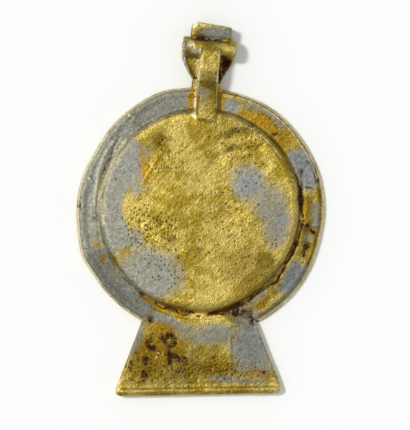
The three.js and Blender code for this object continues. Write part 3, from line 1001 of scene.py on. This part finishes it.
PITTED = {
    "bands": [(20, 70, 15, 21, 0.25)],
    "spots": [
        (-12, -4.8, 5.6, 5.2, 0, 1),
        (-9, -14, 6, 5, 0, 0.5),
        (8, 15.6, 6, 5, 0, 0.5),
        (11, -10, 9, 9, 0, 0.35),
        (9, 4, 8, 8, 0, 0.2),
        (-9, 12, 4, 6, 0, 0.3),
        (0, -39, 16, 3, 0, 0.8),
        (-10, -35, 6, 5, 0, 0.5),
    ],
}

# Zones where the colour is multiplied darker: most on the ring's right and lower left, on the foot, and over parts
# of the plateau and the loop.
DARKER_ZONES = {
    "bands": [
        (200, 246, 24.4, 31, 0.95),
        (130, 200, 24.4, 31, 0.1),
        (96, 128, 24, 31, 0.45),
        (-72, 12, 24.6, 31, 0.95),
        (12, 36, 24.6, 31, 0.55),
        (36, 72, 24.6, 31, 0.5),
        (-70, 0, 18, 23.6, 0.3),
    ],
    "spots": [
        (0, 2, 7, 20, 0, 0.35),
        (-10, 16, 5, 5, 0, 0.35),
        (-9, -35, 12, 9, 0, 0.85),
        (8, -36, 12, 8, 0, 0.7),
        (12, -33, 5, 6, 14, 0.5),
        (8, 18, 6, 5, 0, 0.45),
        (13, -12, 8, 8, 0, 0.4),
        (3, 42.3, 6, 2.4, 0, 0.75),
        (2.2, 35.4, 2.4, 5, -3, 0.3),
        (2, 27, 2.6, 5, 0, 0.5),
        (-2.4, 33, 1.4, 6, 0, 0.6),
        (6.4, 38.2, 2.6, 1.6, 0, 0.2),
        (17, -2, 5, 8, 0, 0.4),
    ],
}


def spread_of(spot, places):
    """How strongly a spot covers each place, from 0 to its strength."""
    x, y, half_x, half_y, turn, strength = spot
    cos, sin = math.cos(math.radians(turn)), math.sin(math.radians(turn))
    dx, dy = places[:, 0] - x, places[:, 1] - y
    away = np.hypot((dx * cos + dy * sin) / half_x, (dy * cos - dx * sin) / half_y)
    return strength * smooth_step(away, 1.55, 0.45)


def band_of(band, places, centre_y):
    """How strongly a band round the plate covers each place, from 0 to its strength."""
    start, finish, inner, outer, strength = band
    dx, dy = places[:, 0], places[:, 1] - centre_y
    away = np.hypot(dx, dy)
    away -= edge_swell(np.degrees(np.arctan2(dy, dx))) * smooth_step(away, 25, 29)
    middle, half = (start + finish) / 2, (finish - start) / 2
    turn = (np.degrees(np.arctan2(dy, dx)) - middle + 180) % 360 - 180
    across = np.abs(away - (inner + outer) / 2) - (outer - inner) / 2
    round_it = (np.abs(turn) - half) * away / 57.3
    soft = min(1.6, (outer - inner) / 4)
    return strength * smooth_step(across, soft, -soft) * smooth_step(round_it, 1.6, -1.6)


def cover(patches, places, centre_y):
    """How strongly spots and bands together cover each place."""
    covers = [spread_of(spot, places) for spot in patches["spots"]]
    covers += [band_of(band, places, centre_y) for band in patches["bands"]]
    for points, half, strength in patches.get("lines", ()):
        covers.append(strength * smooth_step(along(places, points) / half, 1.5, 0.5))
    return np.max(covers, axis=0)


def blur(piece, values, rounds):
    """Values at the mesh's corners, each round mixed with their neighbours'."""
    mesh = piece.data
    edges = np.empty(len(mesh.edges) * 2, int)
    mesh.edges.foreach_get("vertices", edges)
    a, b = edges.reshape(-1, 2).T
    count = len(mesh.vertices)
    share = np.bincount(a, minlength=count) + np.bincount(b, minlength=count)
    for _ in range(rounds):
        columns = []
        for column in values.T:
            near = np.bincount(a, column[b], count) + np.bincount(b, column[a], count)
            columns.append(0.5 * column + 0.5 * near / np.maximum(share, 1))
        values = np.stack(columns, axis=1)
    return values


def wear(casting, sizes, seed):
    """Works the fused casting: waves, ridges, dents, pits and a filed outline."""
    places = corners_of(casting) / MM
    normals = normals_of(casting)
    centre_y = sizes.plate_centre / MM
    back = smooth_step(normals[:, 2], 0.1, 0.6) * (places[:, 2] > 0.6)
    rise = 0.1 * cloud(places, 9, seed) + 0.05 * cloud(places, 3.5, seed + 1)
    rise += 0.025 * cloud(places, 1.1, seed + 2)
    wobble = 0.25 * cloud(places, 2.2, seed + 3)
    uneven = 0.8 + 0.4 * cloud(places, 1.8, seed + 4)
    for points, half, height in BACK_LINES:
        away = along(places, points) + wobble * half
        rise += height * np.exp(-((away / half) ** 2)) * uneven
    for dent in BACK_DENTS:
        rise += spread_of(dent[:5] + (1,), places) * dent[5]
    pitted = cover(PITTED, places, centre_y)
    pits = smooth_step(cloud(places, 0.85, seed + 5) - 0.55 * (1 - pitted), 0.28, 0.75)
    rise -= 0.22 * pits * (0.15 + pitted)
    soot = cover(SOOT_AND_SHADE, places, centre_y)
    rise += 0.1 * soot * cloud(places, 0.9, seed + 6)
    grey = cover(GREY, places, centre_y)
    rise += 0.035 * grey * cloud(places, 0.6, seed + 7)
    moved = places + normals * (rise * back)[:, None]
    side = 1 - np.abs(normals[:, 2])
    ripple = 0.1 * cloud(places, 5, seed + 8) + 0.05 * cloud(places, 1.4, seed + 9)
    moved += normals * (ripple * side)[:, None]
    front = smooth_step(-normals[:, 2], 0.1, 0.6) * smooth_step(places[:, 2], 0.05, 0.3)
    moved += normals * (0.03 * cloud(places, 1.3, seed + 10) * front)[:, None]
    low, high = (np.array(corner) / MM for corner in CASTING_BOX)
    move_corners(casting, np.clip(moved, low, high) * MM)


def patina(casting, sizes, seed):
    """Stores how much of each finish every corner has, which the bronze's material reads; some of these finishes
    are painted highlight, reflection and shade.
    """
    places = corners_of(casting) / MM
    normals = normals_of(casting)
    centre_y = sizes.plate_centre / MM
    upper = smooth_step(normals[:, 2], -0.2, 0.3)
    lower = 1 - upper
    stirred = places.copy()
    for axis in range(2):
        for grain, amount in ((5, 0.9), (2.2, 0.6), (1, 0.3)):
            stirred[:, axis] += amount * cloud(places, grain, seed + 20 + axis + int(10 * grain))
    # Hollows and convex crests of the mesh: hollows and creases get painted shade as well as grime, and crests get
    # pale painted highlight as well as polish.
    hollow = np.sum((blur(casting, places, 14) - places) * normals, axis=1)
    hollow = blur(casting, hollow[:, None], 2)[:, 0]
    crest = smooth_step(-hollow, 0.03, 0.13)
    creases = smooth_step(hollow, 0.03, 0.14)
    # The outer wall, where pale is painted as the floor's reflection and grey and darkening are kept off.
    wall = smooth_step(1 - np.abs(normals[:, 2]), 0.35, 0.7) * (places[:, 2] < 2.3) * (places[:, 1] < 29)
    # Rises towards the right and lower right, the side away from the light, to paint more shade into creases there.
    right = smooth_step(places[:, 0] * 0.8 - places[:, 1] * 0.6, -6, 14)
    front_patch = smooth_step(cloud(places, 9, seed + 30), 0.1, 0.6)

    def covered(patches, at=stirred):
        return cover(patches, at, centre_y) * upper

    pale = cover(PALE, places, centre_y) * upper
    finishes = {
        "grey": covered(GREY) * (1 - wall) + 0.9 * front_patch * lower,
        "cool": covered(COOL),
        "ochre": covered(OCHRE),
        # Olive also darkens hollows on the front and creases on the back: painted shade as well as grime.
        "olive": covered(OLIVE) + lower * smooth_step(hollow, 0, 0.06) + 0.4 * creases * upper,
        # Red-black on the listed marks, which are dirt and painted shadow, and in creases as painted shade,
        # strongest towards the right and lower right, away from the light.
        "soot": covered(SOOT_AND_SHADE) + creases * (0.35 * lower + upper * (0.25 + 0.55 * right)),
        # Pale on the listed marks and on convex crests is polish and painted highlight; on the outer wall it is
        # painted reflection of the floor.
        "pale": np.maximum(pale, crest * (0.35 + pale)) + 0.55 * wall,
        "pitted": covered(PITTED),
        "dull": cover(DARKER_ZONES, stirred, centre_y) * upper * (1 - wall),
    }
    for name, values in finishes.items():
        layer = casting.data.attributes.new(name, "FLOAT", "POINT")
        layer.data.foreach_set("value", np.clip(values, 0, 1).astype(np.float32))


# Materials


def add_node(tree, kind, inputs=None, **settings):
    """Adds a shader node, sets it and links or fills its inputs."""
    made = tree.nodes.new(kind)
    for name, value in settings.items():
        setattr(made, name, value)
    for name, value in (inputs or {}).items():
        if isinstance(value, bpy.types.NodeSocket):
            tree.links.new(value, made.inputs[name])
        else:
            made.inputs[name].default_value = value
    return made


def calculate(tree, operation, a, b=0.0):
    return add_node(tree, "ShaderNodeMath", {0: a, 1: b}, operation=operation).outputs[0]


def step_between(tree, value, low, high):
    """0 below low, 1 above high and smooth between."""
    inputs = {"Value": value, "From Min": low, "From Max": high}
    made = add_node(tree, "ShaderNodeMapRange", inputs, interpolation_type="SMOOTHSTEP")
    return made.outputs["Result"]


def mix_colours(tree, share, a, b, blend="MIX"):
    inputs = {"Factor": share, 6: a, 7: b}
    made = add_node(tree, "ShaderNodeMix", inputs, data_type="RGBA", blend_type=blend)
    return made.outputs[2]


def mix_values(tree, share, a, b):
    inputs = {"Factor": share, 2: a, 3: b}
    return add_node(tree, "ShaderNodeMix", inputs, data_type="FLOAT").outputs[0]


def grain_of(tree, place, size, detail=2.0, rough=0.55):
    """Cloudy values from 0 to 1 with grains of a size in millimetres."""
    inputs = {"Vector": place, "Scale": 1 / (size * MM), "Detail": detail, "Roughness": rough}
    return add_node(tree, "ShaderNodeTexNoise", inputs).outputs["Fac"]


def bronze_material(finish):
    """Worn bronze: gold, olive and ochre metal under grey patina, red-black dirt and painted shade in the grooves,
    pale edges that are partly polish and partly painted highlight.
    """
    bronze = bpy.data.materials.new("Bronze")
    bronze.use_nodes = True
    tree = bronze.node_tree
    shader = tree.nodes["Principled BSDF"]
    place = add_node(tree, "ShaderNodeTexCoord").outputs["Object"]
    fine = grain_of(tree, place, 0.28, 2, 0.6)
    sand = grain_of(tree, place, 0.7, 3, 0.6)
    mottle = grain_of(tree, place, 1.8, 4, 0.62)
    wash = grain_of(tree, place, 7, 4, 0.6)
    swung = add_node(tree, "ShaderNodeMapping", {"Vector": place, "Rotation": (0, 0, math.radians(-42))}).outputs[0]
    drawn = add_node(tree, "ShaderNodeVectorMath", {0: swung, 1: (0.12, 1, 1)}, operation="MULTIPLY").outputs[0]
    strokes = grain_of(tree, drawn, 0.5, 3, 0.6)

    def stored(name):
        return add_node(tree, "ShaderNodeAttribute", attribute_name=name).outputs["Fac"]

    def spread(value, amount):
        """A grain's swing about its middle, times an amount."""
        return calculate(tree, "MULTIPLY", calculate(tree, "SUBTRACT", value, 0.5), amount)

    def sum_of(*values):
        total = values[0]
        for value in values[1:]:
            total = calculate(tree, "ADD", total, value)
        return total

    def tone(colour):
        return (*colour, 1)

    def varied(share, low, high):
        """One finish's colour, from its darker grains to its lighter ones."""
        dark = tuple(channel * low for channel in share)
        light = tuple(min(1, channel * high) for channel in share)
        return mix_colours(tree, step_between(tree, sand, 0.34, 0.66), tone(dark), tone(light))

    shine = sum_of(0.47, spread(mottle, 0.35), spread(wash, 1.3), spread(sand, 0.35), spread(strokes, 0.7))
    colour = mix_colours(tree, step_between(tree, shine, 0.3, 0.66), tone(finish.deep_gold), tone(finish.gold))
    layers = (
        ("olive", (mottle, 0.7), (sand, 0.9), 0.05, 1, finish.olive, 0.85, 1.15),
        ("grey", (mottle, 0.55), (sand, 0.9), 0.05, 0.95, finish.grey, 0.86, 1.12),
        ("cool", (mottle, 0.6), (sand, 0.5), 0.1, 1.2, finish.cool, 0.88, 1.1),
        ("ochre", (mottle, 0.8), (sand, 0.7), 0.05, 1, finish.ochre, 0.88, 1.1),
        # Red-black: dirt, and painted shade and shadow.
        ("soot", (mottle, 1), (sand, 2.4), 0.25, 0.9, finish.soot, 0.5, 1.8),
        # Pale: polish, and painted highlight and reflection.
        ("pale", (mottle, 0.3), (fine, 0.8), 0.1, 0.95, finish.pale, 0.94, 1.06),
    )
    shares = {}
    for name, broad, small, low, high, paint_of, dark, light in layers:
        share = sum_of(stored(name), spread(*broad), spread(*small))
        share = step_between(tree, share, low, high)
        shares[name] = calculate(tree, "MULTIPLY", share, step_between(tree, stored(name), 0.02, 0.3))
        colour = mix_colours(tree, shares[name], colour, varied(paint_of, dark, light))

    pitted = stored("pitted")
    warp = add_node(tree, "ShaderNodeTexNoise", {"Vector": place, "Scale": 1400}).outputs["Color"]
    bent = add_node(
        tree, "ShaderNodeVectorMath", {0: warp, 1: (0.0005, 0.0005, 0.0005)}, operation="MULTIPLY"
    ).outputs[0]
    bent = add_node(tree, "ShaderNodeVectorMath", {0: bent, 1: place}, operation="ADD").outputs[0]
    holes = add_node(tree, "ShaderNodeTexVoronoi", {"Vector": bent, "Scale": 1 / (0.8 * MM)})
    chance = add_node(tree, "ShaderNodeSeparateColor", {0: holes.outputs["Color"]}).outputs[0]
    has_pit = step_between(tree, calculate(tree, "ADD", chance, pitted), 0.86, 1.1)
    pits = calculate(tree, "MULTIPLY", has_pit, step_between(tree, holes.outputs["Distance"], 0.42, 0.16))
    colour = mix_colours(tree, calculate(tree, "MULTIPLY", pits, 0.8), colour, varied(finish.olive, 0.25, 0.7))

    light = sum_of(1.0, spread(fine, 1.7), spread(sand, 0.5), spread(mottle, 0.3), spread(strokes, 0.4))
    # Multiplies the colour darker in the listed zones, down to about half.
    light = calculate(tree, "MULTIPLY", light, mix_values(tree, stored("dull"), 1.0, 0.52))
    speckled = add_node(tree, "ShaderNodeCombineColor", {0: light, 1: light, 2: light}).outputs[0]
    colour = mix_colours(tree, 1.0, colour, speckled, "MULTIPLY")
    tree.links.new(colour, shader.inputs["Base Color"])

    rough = mix_values(tree, fine, 0.3, 0.5)
    rough = mix_values(tree, shares["grey"], rough, 0.52)
    rough = mix_values(tree, shares["soot"], rough, 0.85)
    tree.links.new(rough, shader.inputs["Roughness"])
    tree.links.new(mix_values(tree, shares["soot"], 0.5, 0.1), shader.inputs["Specular IOR Level"])
    metal = mix_values(tree, shares["grey"], 0.9, 0.6)
    metal = mix_values(tree, shares["soot"], metal, 0.0)
    tree.links.new(metal, shader.inputs["Metallic"])

    height = sum_of(spread(fine, 0.5), spread(sand, 0.6), spread(mottle, 0.25))
    height = calculate(tree, "SUBTRACT", height, calculate(tree, "MULTIPLY", pits, 0.5))
    inputs = {"Strength": 0.8, "Distance": 0.00022, "Height": height}
    bump = add_node(tree, "ShaderNodeBump", inputs)
    tree.links.new(bump.outputs["Normal"], shader.inputs["Normal"])
    return bronze


class ICON_OT_casting(Operator):
    """Fuse the pieces into one casting, wear it and give it its patina, with painted highlight and shade"""

    bl_idname = "icon.casting"
    bl_label = "Casting"

    def execute(self, context):
        s, finish = context.scene.icon_sizes, context.scene.icon_finish
        names = ["Plate", "Foot", "Lip", "Loop", "Figures", "Table", "Palmette", "Cross"]
        casting = join("Casting", [bpy.data.objects[name] for name in names])
        finish_with(casting, "REMESH", mode="VOXEL", voxel_size=s.grain)
        finish_with(casting, "SMOOTH", factor=0.5, iterations=3)
        wear(casting, s, finish.seed)
        triangles = 2 * len(casting.data.polygons)
        finish_with(casting, "DECIMATE", ratio=min(1, TRIANGLES / triangles))
        bpy.ops.object.shade_smooth()
        patina(casting, s, finish.seed)
        casting.data.materials.clear()
        casting.data.materials.append(bronze_material(finish))
        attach(casting, "root")
        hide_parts("icon_casting")
        return {"FINISHED"}


class ICON_OT_stage(Operator):
    """Lay the pale floor, set the soft light and put the camera straight above"""

    bl_idname = "icon.stage"
    bl_label = "Stage"

    def execute(self, context):
        stage = context.scene.icon_stage
        clear_selection()
        bpy.ops.mesh.primitive_circle_add(vertices=96, radius=1.2, fill_type="NGON")
        floor = bpy.context.object
        floor.name = floor.data.name = "Floor"
        matte = bpy.data.materials.new("Pale floor")
        matte.use_nodes = True
        shader = matte.node_tree.nodes["Principled BSDF"]
        shader.inputs["Base Color"].default_value = (*stage.floor, 1)
        shader.inputs["Roughness"].default_value = 0.9
        shader.inputs["Specular IOR Level"].default_value = 0.1
        floor.data.materials.append(matte)

        context.scene.view_settings.view_transform = "Standard"
        world = bpy.data.worlds.new("Studio")
        context.scene.world = world
        world.use_nodes = True
        sky = world.node_tree.nodes["Background"]
        sky.inputs["Color"].default_value = (1, 1, 1, 1)
        sky.inputs["Strength"].default_value = 0.56

        bpy.ops.object.light_add(type="SUN", location=(-0.3, 0.14, 0.5))
        lamp = bpy.context.object
        lamp.name = "Window"
        lamp.data.energy = 1.8
        lamp.data.angle = math.radians(10)
        lamp.rotation_euler = (0, math.radians(61 - 90), math.radians(-25))

        bpy.ops.object.camera_add(location=(stage.view_x, stage.view_y, stage.camera_height))
        camera = bpy.context.object
        camera.name = "Camera"
        camera.rotation_euler = (0, 0, 0)
        camera.data.sensor_fit = "HORIZONTAL"
        camera.data.lens = camera.data.sensor_width * stage.camera_height / stage.view_width
        context.scene.camera = camera
        return {"FINISHED"}


STEPS = (
    ICON_OT_plate,
    ICON_OT_foot,
    ICON_OT_loop,
    ICON_OT_figures,
    ICON_OT_table,
    ICON_OT_ornament,
    ICON_OT_casting,
    ICON_OT_stage,
)


class ICON_PT_panel(Panel):
    """Lists the steps that build the icon"""

    bl_label = "Bronze Icon"
    bl_idname = "ICON_PT_panel"
    bl_space_type = "VIEW_3D"
    bl_region_type = "UI"
    bl_category = "Icon"

    def draw(self, context):
        column = self.layout.column()
        for group in (context.scene.icon_sizes, context.scene.icon_finish, context.scene.icon_stage):
            for name in group.__annotations__:
                column.prop(group, name)
        for step in STEPS:
            column.operator(step.bl_idname)


CLASSES = (IconSizes, IconFinish, IconStage, *STEPS, ICON_PT_panel)


def register():
    for made in CLASSES:
        bpy.utils.register_class(made)
    bpy.types.Scene.icon_sizes = PointerProperty(type=IconSizes)
    bpy.types.Scene.icon_finish = PointerProperty(type=IconFinish)
    bpy.types.Scene.icon_stage = PointerProperty(type=IconStage)


def unregister():
    del bpy.types.Scene.icon_stage
    del bpy.types.Scene.icon_finish
    del bpy.types.Scene.icon_sizes
    for made in reversed(CLASSES):
        bpy.utils.unregister_class(made)


def main():
    register()
    bpy.ops.icon.plate()
    bpy.ops.icon.foot()
    bpy.ops.icon.loop()
    bpy.ops.icon.figures()
    bpy.ops.icon.table()
    bpy.ops.icon.ornament()
    bpy.ops.icon.casting()
    bpy.ops.icon.stage()


if __name__ == "__main__":
    main()
